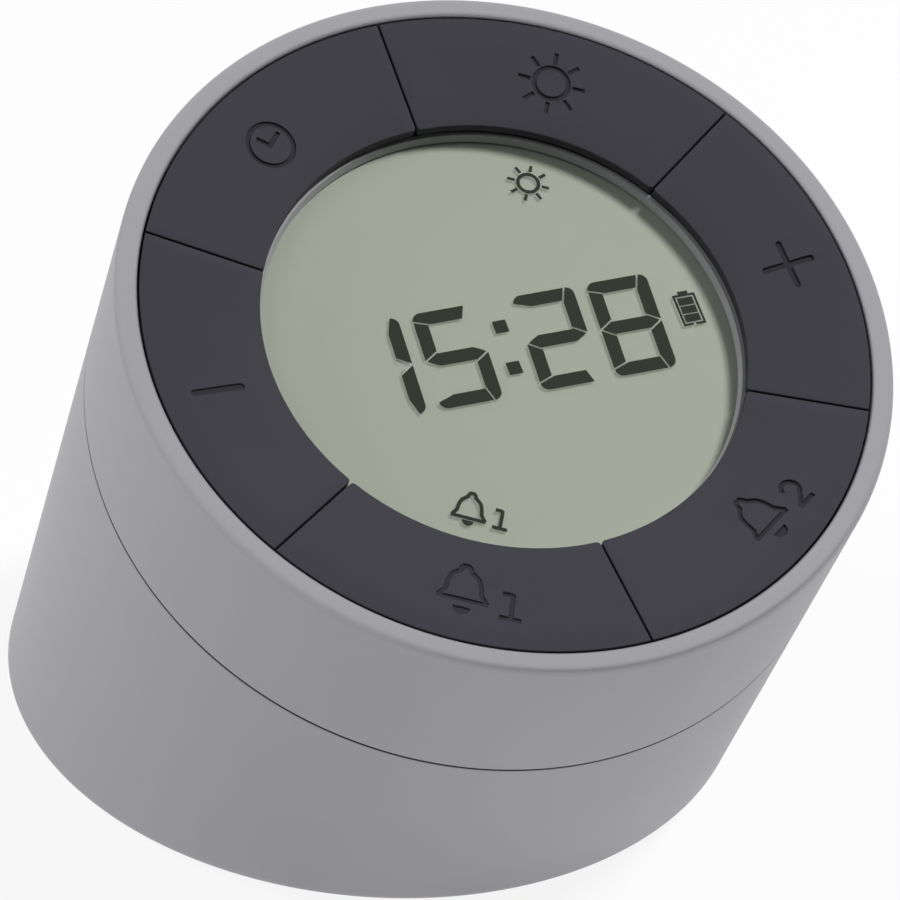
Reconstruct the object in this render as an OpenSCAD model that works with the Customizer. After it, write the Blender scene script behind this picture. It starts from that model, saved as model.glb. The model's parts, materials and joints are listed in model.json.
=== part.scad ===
// Round desk alarm clock: a silver cylinder cut off at a slant, so that it leans its
// liquid crystal display towards the user. Six dished keys ring the display, and a
// diffuser in the slanted base is the lamp that the light key works. Millimetres.
// Depths are measured down the case axis from the rim.

/* [Case] */
// Outside diameter of the case
case_d = 80; // [76:1:88]
// Angle between the case axis and upright
lean = 30; // [24:1:34]
// Length of the case axis from the rim to the base
axis_len = 73.3; // [70:0.1:84]
// Height of the head from the rim to the seam
head_h = 20.5; // [19.5:0.1:24]
// Width of the seam between head and body
seam_gap = 0.25; // [0.15:0.05:0.5]
// Wall of the head
head_wall = 2.3; // [2:0.1:3]
// Wall of the body
body_wall = 2.4; // [2.2:0.1:3]
// Round on the outside of the rim
rim_round_out = 0.8; // [0.4:0.1:1]
// Round on the inside of the rim
rim_round_in = 0.3; // [0.2:0.05:0.6]
// Round of the base edge
base_round = 2; // [1:0.25:2.5]
// Height of the spigot that centres the head on the body
spigot_h = 3; // [2:0.25:4]
// Thickness of the spigot
spigot_w = 1.8; // [1.2:0.1:2.2]
// Thickness of the body's deck
deck_t = 2.2; // [1.6:0.1:3]

/* [Keys] */
// Width of the gap between two keys
key_gap = 0.22; // [0.2:0.02:0.4]
// Gap between the key ring and the rim
ring_gap = 0.2; // [0.15:0.05:0.4]
// Width of the key ring
key_ring_w = 12.4; // [11.9:0.1:12.9]
// Depth of the key tops at the rim
key_drop_out = 0.3; // [0.2:0.1:0.8]
// Depth of the key tops at the display
key_drop_in = 2; // [1.4:0.1:2.4]
// Thickness of a key at the display
key_edge = 0.95; // [0.7:0.05:1.4]
// Round of a key's inner corners, seen from above
key_corner = 0.4; // [0.3:0.05:1]
// Travel of a key
key_travel = 0.5; // [0.3:0.05:0.7]
// Radius of a key's guide pins
pin_r = 1.2; // [1:0.05:1.4]
// Angle between a key's plunger and its guide pins
pin_angle = 16; // [14:1:18]
// Radius of a key's plunger
plunger_r = 1.5; // [1.2:0.1:1.6]
// Depth of the marks cut into the keys
mark_depth = 0.28; // [0.2:0.02:0.5]
// Size of the marks
mark_size = 5; // [4:0.1:5.4]
// Width of a line in the marks
mark_w = 0.46; // [0.3:0.02:0.6]
// Length of the plus and minus bars
sign_l = 5.7; // [4:0.1:6.5]
// Width of the plus and minus bars
sign_w = 0.66; // [0.4:0.02:1]

/* [Display] */
// Step from the key ring in to the display opening
view_step = 0.4; // [0.3:0.05:0.6]
// Draft of the wall round the display opening
view_draft = 0.25; // [0.1:0.05:0.3]
// Height of the wall round the display opening
lip_t = 0.85; // [0.6:0.05:1.4]
// Overlap of that wall on the display glass
glass_lap = 1.4; // [1:0.1:1.8]
// Thickness of the display glass
glass_t = 0.3; // [0.2:0.05:0.8]
// Thickness of the display's reflector
reflector_t = 1; // [0.6:0.1:1.4]
// Thickness of the segments
segment_t = 0.04; // [0.03:0.01:0.08]
// Radius of the opening that the digits and marks below are drawn for
drawn_r = 24.7; // [24:0.1:26]
// Height of a digit
digit_h = 11.3; // [9:0.1:12]
// Width of a digit
digit_w = 6.75; // [5.5:0.05:7]
// Width of a segment
segment_w = 1.45; // [1.1:0.05:1.6]
// Gap between two segments
segment_gap = 0.2; // [0.1:0.02:0.3]
// Round of a digit's outer corners
digit_round = 0.9; // [0.4:0.1:1.4]
// Distance between the digits of a pair
digit_pitch = 8.22; // [7.6:0.02:8.6]
// Distance from the middle of the time to the nearest digit's centre
digit_start = 5.52; // [5:0.02:5.8]
// Distance of the colon's dots from the middle of the time
colon_rise = 2.48; // [2:0.02:3]
// Place of the time to the right of the display's centre
time_right = 0.48; // [0:0.02:1]
// Place of the time below the display's centre
time_down = 0.56; // [0:0.02:1]
// Turn of the time about the display's centre
time_turn = -2.3; // [-3:0.1:3]
// Lean of the digits
digit_slant = 3; // [0:1:9]
// Size of the display's sun mark
glyph_sun = 3.14; // [2.6:0.02:3.4]
// Distance of that mark from the display's centre
glyph_sun_at = 20.4; // [19:0.1:20.6]
// Size of the display's bell mark
glyph_bell = 3.5; // [3:0.05:3.8]
// Distance of that mark from the display's centre
glyph_bell_at = 20.1; // [19:0.1:20.4]
// Width of a line in those marks
glyph_w = 0.38; // [0.24:0.02:0.44]
// Width of the display's cell mark
glyph_cell_w = 2.5; // [2:0.05:2.8]
// Height of the display's cell mark
glyph_cell_h = 3.75; // [3:0.05:4.4]
// Distance of that mark from the display's centre
glyph_cell_at = 20.95; // [20.4:0.05:21.4]

/* [Works] */
// Thickness of the key frame's deck
frame_t = 1.8; // [1.4:0.1:2.4]
// Height of the pads that rest on the head's bosses
frame_pad = 1.5; // [1:0.1:2]
// Length of the key guides under that deck
guide_l = 3; // [2:0.25:3.5]
// Wall of the key guides and of the display's pocket
guide_wall = 1.15; // [0.9:0.05:1.4]
// Height of the display holder
holder_h = 6.3; // [6:0.1:6.8]
// Width of the display holder's ring
holder_w = 4.2; // [3.4:0.1:5]
// Length of a contact strip
strip_l = 26; // [18:1:28]
// Width of a contact strip
strip_w = 1.8; // [1.2:0.1:2]
// Thickness of the circuit boards
board_t = 1.2; // [0.8:0.1:1.6]
// Side of a switch body
switch_w = 6; // [5:0.25:6.5]
// Height of a switch body
switch_h = 3.4; // [3:0.1:3.6]
// Radius of a switch stem
stem_r = 1.7; // [1.4:0.05:1.9]
// Height of a switch stem above its body
stem_up = 0.9; // [0.8:0.05:1.1]
// Length of a switch stem inside its body
stem_in = 1.4; // [1:0.1:1.6]
// Radius of the sounder
sounder_r = 9; // [7:0.5:10]
// Height of the sounder
sounder_h = 3.6; // [2.5:0.1:4]
// Side of the controller chip
chip_w = 9; // [6:0.5:10]
// Height of the controller chip
chip_h = 1.6; // [1:0.1:2]
// Radius of the quartz crystal's can
crystal_r = 1.5; // [1:0.1:1.6]
// Length of the quartz crystal's can
crystal_l = 8; // [6:0.5:9]
// Radius of the screw shanks
screw_r = 1.1; // [0.9:0.05:1.3]
// Radius of the screw heads
screw_head_r = 2; // [1.7:0.05:2.2]
// Height of the screw heads
screw_head_h = 1.3; // [1:0.1:1.5]
// Length of thread in a boss
screw_bite = 4; // [3:0.25:4.5]
// Radius of the screw bosses
boss_r = 3.2; // [2.8:0.1:3.4]

/* [Lamp] */
// Thickness of the base diffuser
lens_t = 2; // [1.5:0.1:3]
// Height of the diffuser above the table
lens_recess = 0.6; // [0.3:0.1:1.2]
// Width of the foot ring round the diffuser
foot_w = 1.65; // [1.2:0.05:2.2]
// Width of the seat that the diffuser lies on
seat_w = 1.6; // [1.2:0.1:2.4]
// Thickness of that seat
seat_t = 2; // [1.5:0.1:3]
// Length of the lamp board's posts
post_l = 13; // [12.5:0.25:16]
// Radius of the lamp board's posts
post_r = 2.6; // [2.2:0.1:2.8]
// Distance of those posts from the lamp board's edge
post_edge = 1.8; // [1.4:0.1:2.2]
// Number of lamps
lamp_n = 6; // [3:1:8]
// Side of a lamp
lamp_w = 3.5; // [2:0.1:5]
// Height of a lamp
lamp_h = 1.4; // [0.8:0.1:2]
// Distance of the lamps from the lamp board's edge
lamp_in = 14.2; // [13:0.1:18]
// Radius of the tilt switch
tilt_r = 2.5; // [2:0.1:2.8]
// Height of the tilt switch
tilt_h = 9; // [6:0.5:10]
// Distance between the tilt switch and a post
tilt_room = 2.2; // [1:0.1:3]

/* [Power] */
// Radius of the lead hole in the deck
wire_r = 4.5; // [4:0.1:4.6]
// Distance of the lead hole from the lamp board's edge
wire_in = 6.2; // [6:0.1:7]
// Distance of the cell from the middle of the lead hole
cell_room = 6; // [5.6:0.1:9]
// Width of the cell
cell_w = 30; // [24:1:31]
// Thickness of the cell
cell_t = 10; // [6:0.5:10.5]
// Thickness of the cell's foam pad
pad_t = 1; // [0.5:0.1:1.5]
// Margin of that pad inside the cell's outline
pad_in = 3; // [1:0.5:5]
// Radius of the leads
lead_r = 0.5; // [0.4:0.05:0.6]
// Distance between the two leads of a pair
lead_pitch = 2.4; // [1.6:0.1:2.8]
// Depth of the charging board past the middle of the base
charge_past = 2.7; // [1:0.1:3.5]
// Length of the charging board
charge_l = 10.5; // [9.5:0.25:11]
// Width of the charging board
charge_w = 20; // [19:0.5:21]
// Width of the charging socket
socket_w = 8.9; // [8.4:0.1:9.2]
// Height of the charging socket
socket_h = 3.2; // [2.9:0.1:3.4]
// Wall of the charging socket
socket_wall = 0.3; // [0.25:0.05:0.4]
// Length of the charging socket
socket_l = 7; // [6:0.1:7.2]
// Width of the ribs that carry the charging board
rib_w = 4; // [3.6:0.1:4.2]

/* [Fits] */
// Clearance of a piece that slides in a bore
slide_play = 0.05; // [0.03:0.01:0.08]
// Clearance of a piece that drops into its place
seat_play = 0.15; // [0.1:0.01:0.25]
// Clearance between pieces that pass each other
pass_play = 0.4; // [0.3:0.05:0.5]
// Room left where a moving piece stops
stop_play = 0.1; // [0.05:0.01:0.15]

/* [Hidden] */
$fn = 96;
far = 400;
edge_facets = 96;
edge_steps = 6;
edge_inset = 0.01;

case_r = case_d / 2;
bore_r = case_r - head_wall;
key_out_r = bore_r - ring_gap;
key_in_r = key_out_r - key_ring_w;
view_r = key_in_r - view_step;
key_mid_r = (key_in_r + key_out_r) / 2;
key_angles = [0, 60, 120, 180, 240, 300];
gap_angles = [30, 150, 270];
case_angles = [90, 210, 330];

// How far the cuts between a digit's segments run aside of its corners
cut_aside = 0.35 * segment_w;

// Depths of the stacked pieces
key_under = key_drop_in + key_edge;
frame_top = key_under + key_travel + stop_play;
frame_under = frame_top + frame_t;
guide_under = frame_under + guide_l;
glass_top = frame_top + lip_t;
reflector_top = glass_top + glass_t;
holder_top = reflector_top + reflector_t;
board_top = holder_top + holder_h;
board_under = board_top + board_t;
switch_top = board_top - switch_h;
stem_top = switch_top - stem_up;
stem_end = switch_top + stem_in;
head_end = head_h - seam_gap / 2;
deck_top = head_h + seam_gap / 2;
deck_under = deck_top + deck_t;
lamp_top = deck_under + post_l;
lamp_under = lamp_top + board_t;
charge_drop = axis_len + charge_past;
charge_under = charge_drop + board_t;

// The key frame and what is fastened to it
glass_r = view_r + glass_lap;
pocket_r = glass_r + seat_play;
frame_r = bore_r - seat_play;
pad_under = frame_under + frame_pad;
frame_boss_at = bore_r - boss_r + 0.3;
frame_boss_under = board_top - 2 * pass_play;
board_r = bore_r - pass_play;
board_post_r = screw_r + guide_wall;
board_post_at = frame_boss_at - boss_r - board_post_r - pass_play;
strip_at = glass_r - holder_w - strip_w;
sounder_at = chip_w / sqrt(2) + sounder_r + 2 * pass_play;
crystal_at = chip_w / sqrt(2) + crystal_r + 2 * pass_play;

// The joint of head and body
spigot_r = bore_r - seat_play;
case_boss_at = spigot_r - spigot_w - boss_r - pass_play;
case_boss_top = board_under + 2 * pass_play;
body_r = case_r - body_wall;

// The slanted base and the lamp
seat_z = lens_recess + lens_t;
lens_r = case_r - base_round - foot_w - seat_play;
lamp_open_r = lens_r - seat_w;
lamp_board_r = lamp_open_r - pass_play;
post_at = lamp_board_r - post_r - post_edge;
lamp_at = lamp_board_r - lamp_in;
tilt_at = post_at - post_r - tilt_r - tilt_room;
wire_at = lamp_board_r - wire_in;
cell_l = 2 * (wire_at - cell_room);
lead_step = wire_r / 2 - lead_r / 2;
charge_hole_r = lead_pitch / 2 + lead_r + 0.9;
charge_lead_at = case_boss_at - boss_r - charge_hole_r - 0.2;
socket_drop = charge_drop - socket_h / 2;
board_back = sqrt(body_r * body_r - charge_w * charge_w / 4) - pass_play;
socket_back = body_r + 0.7;
rib_from = board_back - charge_l;
rib_at = charge_w / 2 - rib_w / 2;

// The base stands on z = 0 with the model's box centred over the origin
base_edge = [for (k = [0:edge_steps]) let (a = 90 * k / edge_steps)
    [base_round * (1 - cos(a)) + edge_inset, base_round * (1 - sin(a))]];
rim_reach = (case_r - rim_round_out) * cos(lean) - rim_round_out * sin(lean) + rim_round_out;
base_reach = max([for (e = base_edge) (case_r - e[0]) / cos(lean) - e[1] * tan(lean)]);
base_y = (axis_len * sin(lean) + rim_reach - base_reach) / 2;

silver = "#A9A8AD";
charcoal = "#444349";
graphite = "#38383C";
green = "#A2A89A";
ink = "#373C34";
steel = "#B8B8B8";
board_green = "#2E5B3C";
frosted = "#ECEBE4";

// Places things given from the rim's centre, with x right and y up across the display
module head_frame() {
    translate([0, base_y - axis_len * sin(lean), axis_len * cos(lean)]) rotate([lean, 0, 0]) children();
}

// A round bar between two depths
module bar(r, top, under) {
    translate([0, 0, -under]) cylinder(r = r, h = under - top);
}

// A ring between two depths
module ring(r_out, r_in, top, under) {
    difference() {
        bar(r_out, top, under);
        bar(r_in, top - 1, under + 1);
    }
}

// A block centred on the axis between two depths
module block(x, y, top, under) {
    translate([-x / 2, -y / 2, -under]) cube([x, y, under - top]);
}

// Copies on a circle about the axis
module at(r, angles) {
    for (a = angles) rotate([0, 0, a]) translate([r, 0, 0]) children();
}

// Everything higher than z above the table
module above(z) {
    translate([-far / 2, -far / 2, z]) cube(far);
}

// A round bar along the case axis, cut off level at z above the table
module slant_bar(r, top, z) {
    intersection() {
        head_frame() bar(r, top, axis_len + far / 4);
        above(z);
    }
}

// A screw that points up the axis, its head under the given depth
module screw_up(under, grip) {
    bar(screw_head_r, under, under + screw_head_h);
    bar(screw_r, under - grip - screw_bite, under);
}

// The hole for such a screw's thread
module screw_hole(under) {
    bar(screw_r, under - screw_bite - 0.3, under + 1);
}

// Outline of a line of width w along the points p, with mitred corners
function unit(v) = v / norm(v);
function normal(a, b) = let (d = unit(b - a)) [-d[1], d[0]];
function mitre(m, n) = (m + n) / (1 + m * n);
function corner(p, i) =
    i == 0 ? normal(p[0], p[1])
    : i == len(p) - 1 ? normal(p[i - 1], p[i])
    : mitre(normal(p[i - 1], p[i]), normal(p[i], p[i + 1]));
function outline(p, w) = concat(
    [for (i = [0:len(p) - 1]) p[i] + corner(p, i) * w / 2],
    [for (i = [len(p) - 1:-1:0]) p[i] - corner(p, i) * w / 2]);

module line(p, w) {
    polygon(outline(p, w));
}

module hoop(r, w) {
    difference() {
        circle(r = r);
        circle(r = r - w);
    }
}

// Marks of size s with lines of width w, each about its own centre with y up
module sun_mark(s, w) {
    hoop(0.41 * s, w);
    for (k = [0:7]) rotate(45 * k) line([[0.46 * s, 0], [0.715 * s, 0]], 0.85 * w);
}

module clock_mark(s, w) {
    hoop(0.53 * s, w);
    line([[-0.26 * s, 0.18 * s], [-0.02 * s, -0.01 * s], [0.25 * s, 0.25 * s]], w);
}

module plus_mark() {
    minus_mark();
    rotate(90) minus_mark();
}

module minus_mark() {
    square([sign_l - sign_w, sign_w], center = true);
    for (s = [-1, 1]) translate([s * (sign_l - sign_w) / 2, 0]) circle(r = sign_w / 2);
}

// Right side of a bell of size 1, from its foot to its crown
bell_side = [[0.49, -0.33], [0.36, -0.14], [0.33, 0.07], [0.28, 0.22],
    [0.17, 0.33], [0.12, 0.36], [0.1, 0.44], [0.05, 0.5]];

// A bell with its clapper at the given drop under its foot
module bell_mark(s, w, drop) {
    left = [for (p = bell_side) [-s * p[0], s * p[1]]];
    right = [for (i = [len(bell_side) - 1:-1:0]) s * bell_side[i]];
    foot = s * bell_side[0][1];
    line(concat(left, right), w);
    line([[-0.51 * s, foot], [0.51 * s, foot]], w);
    translate([0, foot - drop]) intersection() {
        circle(r = 0.17 * s);
        translate([-s, -s]) square([2 * s, s]);
    }
}

module one_mark(s, w) {
    line([[-0.18 * s, 0.29 * s], [0.04 * s, 0.29 * s]], w);
    line([[0.03 * s, 0.31 * s], [0.03 * s, -0.3 * s]], w);
    line([[-0.2 * s, -0.29 * s], [0.24 * s, -0.29 * s]], w);
}

module two_mark(s, w) {
    r = 0.19 * s;
    line([for (a = [160:-20:-40]) [r * cos(a), 0.13 * s + r * sin(a)]], w);
    line([[r * cos(-30), 0.13 * s + r * sin(-30)], [-0.18 * s, -0.27 * s]], w);
    line([[-0.21 * s, -0.27 * s], [0.22 * s, -0.27 * s]], w);
}

// One key: a sector of the dished key ring on a plunger and two snap pins
module key_ring_profile(drop) {
    polygon([
        [key_in_r, -key_under], [key_out_r, -key_under],
        [key_out_r, -key_drop_out - drop], [key_in_r, -key_drop_in - drop]]);
}

// Wedge of one key about the x axis, with its inner corners rounded
module key_wedge() {
    half = key_gap / 2;
    reach = key_in_r + key_corner;
    run = sqrt(reach * reach - (half + key_corner) * (half + key_corner));
    turn = asin((half + key_corner) / reach);
    difference() {
        polygon([[0, 0], [far * cos(30), -far * sin(30)], [far * cos(30), far * sin(30)]]);
        for (s = [-1, 1]) rotate(30 * s) {
            translate([0, -half]) square([far, key_gap]);
            difference() {
                polygon([
                    [run - 2 * key_corner, 0], [run, 0], [run, -s * (half + key_corner)],
                    [(key_in_r - 0.5) * cos(turn), -s * (key_in_r - 0.5) * sin(turn)]]);
                translate([run, -s * (half + key_corner)]) circle(r = key_corner);
            }
        }
    }
}

// Cuts a mark to an even depth in the dished top of a key, at a shift from the key's middle
module key(angle, shift) {
    color(charcoal) head_frame() rotate([0, 0, angle]) {
        difference() {
            intersection() {
                rotate_extrude() key_ring_profile(0);
                translate([0, 0, -key_under - 1]) linear_extrude(key_under + 2) key_wedge();
            }
            intersection() {
                translate([0, 0, -key_under]) linear_extrude(key_under + 1)
                    translate([key_mid_r, 0]) rotate(-angle) translate(shift * mark_size) children();
                rotate_extrude() polygon([
                    [key_in_r, -key_drop_in - mark_depth], [key_out_r, -key_drop_out - mark_depth],
                    [key_out_r, 1], [key_in_r, 1]]);
            }
        }
        translate([key_mid_r, 0, 0]) bar(plunger_r, key_under - 0.2, stem_top);
        at(key_mid_r, [-pin_angle, pin_angle]) snap_pin();
    }
}

// A guide pin with a split head that catches under its guide
module snap_pin() {
    difference() {
        union() {
            bar(pin_r, key_under - 0.2, guide_under + 1.2);
            translate([0, 0, -guide_under - 1.2])
                cylinder(r1 = pin_r - 0.1, r2 = pin_r + 0.3, h = 1.2 - stop_play);
        }
        block(0.5, 4, guide_under - 1, guide_under + 2);
    }
}

module plus_key() {
    key(0, [0.1, 0]) plus_mark();
}

module light_key() {
    key(60, [0.04, -0.03]) rotate(60) sun_mark(mark_size, mark_w);
}

module time_key() {
    key(120, [-0.07, -0.16]) clock_mark(mark_size, mark_w);
}

module minus_key() {
    key(180, [-0.02, 0]) minus_mark();
}

module alarm_marks() {
    bell_mark(mark_size, mark_w, 2 * mark_w);
    translate([0.95 * mark_size, -0.25 * mark_size]) children();
}

module alarm_one_key() {
    key(240, [0.02, 0.06]) rotate(-30) alarm_marks() one_mark(mark_size, mark_w);
}

module alarm_two_key() {
    key(300, [0.165, 0.05]) rotate(30) alarm_marks() two_mark(mark_size, mark_w);
}

// Stem of the switch under a key, which the key's plunger rests on
module stem(angle) {
    color("#D8D4C8") head_frame() at(key_mid_r, [angle]) bar(stem_r, stem_top, stem_end);
}

module plus_stem() {
    stem(0);
}

module light_stem() {
    stem(60);
}

module time_stem() {
    stem(120);
}

module minus_stem() {
    stem(180);
}

module alarm_one_stem() {
    stem(240);
}

module alarm_two_stem() {
    stem(300);
}

// Rim and wall of the head, with three bosses for the key frame and three for the body
module head_shell() {
    color(silver) head_frame() difference() {
        union() {
            rotate_extrude() head_profile();
            intersection() {
                union() {
                    at(frame_boss_at, gap_angles) bar(boss_r, pad_under, frame_boss_under);
                    at(case_boss_at, case_angles) {
                        bar(boss_r, case_boss_top, deck_top);
                        translate([boss_r, 0, 0]) block(
                            2 * boss_r + 2 * spigot_w, 2, case_boss_top, head_h - spigot_h - pass_play);
                    }
                }
                bar(bore_r + 0.4, 0, head_h + 1);
            }
        }
        at(frame_boss_at, gap_angles) bar(screw_r, 0, frame_boss_under + 1);
        at(case_boss_at, case_angles) screw_hole(deck_top);
    }
}

module head_profile() {
    difference() {
        translate([bore_r, -head_end]) square([head_wall, head_end]);
        translate([bore_r - 1, -rim_round_in]) square(rim_round_in + 1);
        translate([case_r - rim_round_out, -rim_round_out]) square(rim_round_out + 1);
    }
    translate([bore_r + rim_round_in, -rim_round_in]) circle(r = rim_round_in);
    translate([case_r - rim_round_out, -rim_round_out]) circle(r = rim_round_out);
}

// Body below the seam: a spigot, a deck for the works and the slanted base
module body_shell() {
    color(silver) difference() {
        union() {
            slant_bar(case_r, deck_top, base_round);
            base_band();
            head_frame() ring(spigot_r, spigot_r - spigot_w, head_h - spigot_h, deck_top + 0.5);
        }
        difference() {
            slant_bar(body_r, deck_under, seat_z + seat_t);
            head_frame() at(post_at, gap_angles) bar(post_r, deck_under - 1, lamp_top);
            head_frame() for (s = [-1, 1]) translate([s * rib_at, (rib_from + case_r) / 2, 0])
                block(rib_w, case_r - rib_from, charge_drop - screw_bite - 2, charge_drop);
        }
        slant_bar(lamp_open_r, axis_len - case_r * tan(lean), -far / 4);
        difference() {
            slant_bar(lens_r + seat_play, deck_under, -far / 4);
            above(seat_z);
        }
        head_frame() {
            at(case_boss_at, case_angles) bar(screw_r + seat_play, 0, deck_under + 1);
            at(post_at, gap_angles) screw_hole(lamp_top);
            translate([wire_at, 0, 0]) bar(wire_r, 0, deck_under + 1);
            translate([0, charge_lead_at, 0]) bar(charge_hole_r, 0, deck_under + 1);
            for (s = [-1, 1]) translate([s * rib_at, rib_from + rib_w / 2, 0]) screw_hole(charge_drop);
            socket_solid(seat_play, board_back - 1, case_r + 1);
        }
    }
}

// The round of the base edge, a hair inside the wall above it
module base_band() {
    top = axis_len - (case_r + base_round) * tan(lean) - base_round;
    difference() {
        hull() for (e = base_edge) slant_bar(case_r - e[0], top, e[1], $fn = edge_facets);
        above(base_round);
    }
}

// Plate of frosted plastic that the clock's lamp shines through
module base_diffuser() {
    color(frosted) difference() {
        slant_bar(lens_r, deck_under, lens_recess);
        above(seat_z);
    }
}

// Deck of the key frame, with the wall round the display opening and the display's pocket
module frame_profile() {
    wall_r = pocket_r + guide_wall;
    pocket_under = holder_top + 1;
    polygon([
        [view_r + view_draft, -frame_top], [frame_r, -frame_top], [frame_r, -frame_under],
        [wall_r, -frame_under], [wall_r, -pocket_under], [pocket_r, -pocket_under],
        [pocket_r, -glass_top], [view_r, -glass_top]]);
}

// Frame that guides the keys and holds the display
module key_frame() {
    guides = [for (a = key_angles, s = [-1, 1]) a + s * pin_angle];
    color(graphite) head_frame() difference() {
        union() {
            rotate_extrude() frame_profile();
            at(key_mid_r, guides) bar(pin_r + slide_play + guide_wall, frame_top + 1, guide_under);
            intersection() {
                at(frame_boss_at, gap_angles) bar(boss_r, frame_top + 1, pad_under);
                bar(frame_r - pass_play, 0, pad_under + 1);
            }
            at(board_post_at, gap_angles) bar(board_post_r, frame_top + 1, board_top);
        }
        at(key_mid_r, guides) bar(pin_r + slide_play, 0, guide_under + 1);
        at(key_mid_r, key_angles) bar(plunger_r + pass_play, 0, frame_under + 1);
        at(frame_boss_at, gap_angles) {
            bar(screw_r + seat_play, 0, pad_under + 1);
            bar(screw_head_r + seat_play, 0, frame_top + screw_head_h + seat_play);
        }
        at(board_post_at, gap_angles) screw_hole(board_top);
    }
}

// Clear front of the display
module lcd_glass() {
    color("#C9CFC0", 0.4) head_frame() bar(glass_r, glass_top, reflector_top);
}

// Grey green back of the display
module lcd_reflector() {
    color(green) head_frame() bar(glass_r, reflector_top, holder_top);
}

// Dark segments of the display, which show the time, the lamp, the cell and an alarm
module lcd_segments() {
    color(ink) head_frame() translate([0, 0, -glass_top]) linear_extrude(segment_t)
        scale(view_r / drawn_r) {
            time_row();
            rotate(time_turn) translate([glyph_cell_at, 0]) cell_mark();
            rotate(60) translate([glyph_sun_at, 0]) sun_mark(glyph_sun, glyph_w);
            rotate(239) translate([glyph_bell_at, 0]) rotate(90) {
                bell_mark(glyph_bell, glyph_w, 0.75 * glyph_w);
                translate([0.9 * glyph_bell, -0.12 * glyph_bell]) one_mark(glyph_bell, glyph_w);
            }
        }
}

// The hours and minutes with the colon between them
module time_row() {
    rotate(time_turn) translate([time_right, -time_down]) {
        digit_at(-digit_start - digit_pitch, "bc");
        digit_at(-digit_start, "afgcd");
        colon();
        digit_at(digit_start, "abged");
        digit_at(digit_start + digit_pitch, "abcdefg");
    }
}

// A digit of the seven segments a to g that are named, centred at x
module digit_at(x, lit) {
    multmatrix([[1, tan(digit_slant), 0, x], [0, 1, 0, 0], [0, 0, 1, 0], [0, 0, 0, 1]])
        intersection() {
            digit_shape();
            union() for (s = lit) segment_area(s);
        }
}

// All seven segments: a rounded frame with a bar across it, less the gaps
module digit_shape() {
    a = digit_w / 2;
    b = digit_h / 2;
    p = a - segment_w;
    q = b - segment_w;
    mid = segment_w / 2;
    difference() {
        union() {
            difference() {
                rounded(digit_w, digit_h, digit_round);
                square([2 * p, 2 * q], center = true);
            }
            polygon([[-a, 0], [-p, mid], [p, mid], [a, 0], [p, -mid], [-p, -mid]]);
        }
        for (s = [-1, 1]) {
            corner_gap([-p, s * q], [-segment_w, s * cut_aside]);
            corner_gap([p, s * q], [cut_aside, s * segment_w]);
            line([[s * p, mid + 0.2], [s * a, 0], [s * (a + 1), 0]], segment_gap);
            line([[s * p, -mid - 0.2], [s * a, 0], [s * (a + 1), 0]], segment_gap);
        }
    }
}

// The gap between two segments at a corner of the frame, from its inner corner outwards
module corner_gap(from, way) {
    line([from - 0.3 * way, from + 2 * way], segment_gap);
}

// The part of a digit's frame that belongs to one segment
module segment_area(name) {
    a = digit_w / 2;
    b = digit_h / 2;
    p = a - segment_w;
    q = b - segment_w;
    mid = segment_w / 2;
    x = p + cut_aside;
    y = q + cut_aside;
    if (name == "a") polygon([[-a, b], [x, b], [p, q], [-p, q], [-a, y]]);
    if (name == "b") polygon([[x, b], [a, b], [a, 0], [p, mid], [p, q]]);
    if (name == "c") polygon([[x, -b], [a, -b], [a, 0], [p, -mid], [p, -q]]);
    if (name == "d") polygon([[-a, -b], [x, -b], [p, -q], [-p, -q], [-a, -y]]);
    if (name == "e") polygon([[-a, 0], [-p, -mid], [-p, -q], [-a, -y]]);
    if (name == "f") polygon([[-a, y], [-p, q], [-p, mid], [-a, 0]]);
    if (name == "g") polygon([[-a, 0], [-p, mid], [p, mid], [a, 0], [p, -mid], [-p, -mid]]);
}

module rounded(w, h, r) {
    square([w - 2 * r, h], center = true);
    square([w, h - 2 * r], center = true);
    for (x = [-1, 1], y = [-1, 1]) translate([x * (w / 2 - r), y * (h / 2 - r)]) circle(r = r);
}

module colon() {
    for (s = [-1, 1]) translate([s * colon_rise * tan(digit_slant), s * colon_rise])
        square(segment_w, center = true);
}

// An upright cell with three bars
module cell_mark() {
    edge = 0.096 * glyph_cell_w;
    step = (glyph_cell_h - 3 * edge) / 3;
    difference() {
        square([glyph_cell_w, glyph_cell_h], center = true);
        square([glyph_cell_w - 2 * edge, glyph_cell_h - 2 * edge], center = true);
        translate([0, -glyph_cell_h / 2]) square([1.2 * edge, 3 * edge], center = true);
    }
    translate([0, glyph_cell_h / 2 + edge / 2]) square([0.44 * glyph_cell_w, 2 * edge], center = true);
    for (k = [-1, 0, 1]) translate([0, k * step])
        square([glyph_cell_w - 3.4 * edge, step - 0.6 * edge], center = true);
}

// Ring that presses the display up and guides the contact strips
module lcd_holder() {
    color("#D9D9D4") head_frame() difference() {
        intersection() {
            bar(glass_r, holder_top, board_top);
            union() {
                ring(far, glass_r - holder_w, holder_top - 1, board_top + 1);
                for (s = [-1, 1]) translate([0, s * strip_at, 0])
                    block(strip_l + 4, strip_w + 3, holder_top - 1, board_top + 1);
            }
        }
        for (s = [-1, 1]) translate([0, s * strip_at, 0])
            block(strip_l + 2 * seat_play, strip_w + 2 * seat_play, 0, board_top + 1);
    }
}

// Rubber strips that carry the display's signals down to the board
module contact_strips() {
    color("#55555A") head_frame() for (s = [-1, 1]) translate([0, s * strip_at, 0])
        block(strip_l, strip_w, holder_top, board_top);
}

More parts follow.
